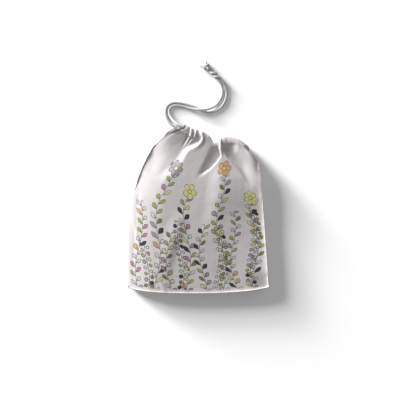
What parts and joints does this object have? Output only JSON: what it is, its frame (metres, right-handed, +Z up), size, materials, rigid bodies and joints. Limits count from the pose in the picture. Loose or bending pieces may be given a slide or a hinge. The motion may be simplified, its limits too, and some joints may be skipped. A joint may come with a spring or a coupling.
{
  "type": "drawstring bag",
  "caption": "Soft cloth pouch lying flat, its mouth gathered by a cord that runs through hem channels and ends in a knot.",
  "frame": {"origin": "under the middle of the bag, on the surface that its back panel lies on", "axes": "+X across the bag, +Y towards its mouth, +Z up from the surface, out of the printed front panel"},
  "size_m": [0.24, 0.3947, 0.0257],
  "materials": {
    "canvas": "off-white plain-weave cotton canvas, printed",
    "canvas_inside": "turned-in edges of the same cotton canvas",
    "hem": "off-white cotton canvas, folded double and stitched",
    "cord": "white twisted cotton cord"
  },
  "bodies": {
    "bag": {"front_panel": "canvas", "back_panel": "canvas", "left_seam_allowance": "canvas_inside", "right_seam_allowance": "canvas_inside", "bottom_seam_allowance": "canvas_inside", "front_channel": "hem", "back_channel": "hem", "drawcord_in_channel": "cord"},
    "cord_ends": {"drawcord_front_lead": "cord", "drawcord_back_lead": "cord", "drawcord_front_strand": "cord", "drawcord_back_strand": "cord", "drawcord_front_twist": "cord", "drawcord_back_twist": "cord", "end_knot": "cord", "cord_tip_left": "cord", "cord_tip_right": "cord"}
  },
  "joints": [
    {"name": "cord_draw", "type": "slide", "parent": "bag", "child": "cord_ends", "axis": [-0.9061, 0.4231, 0], "range_m": [0, 0.02]}
  ]
}
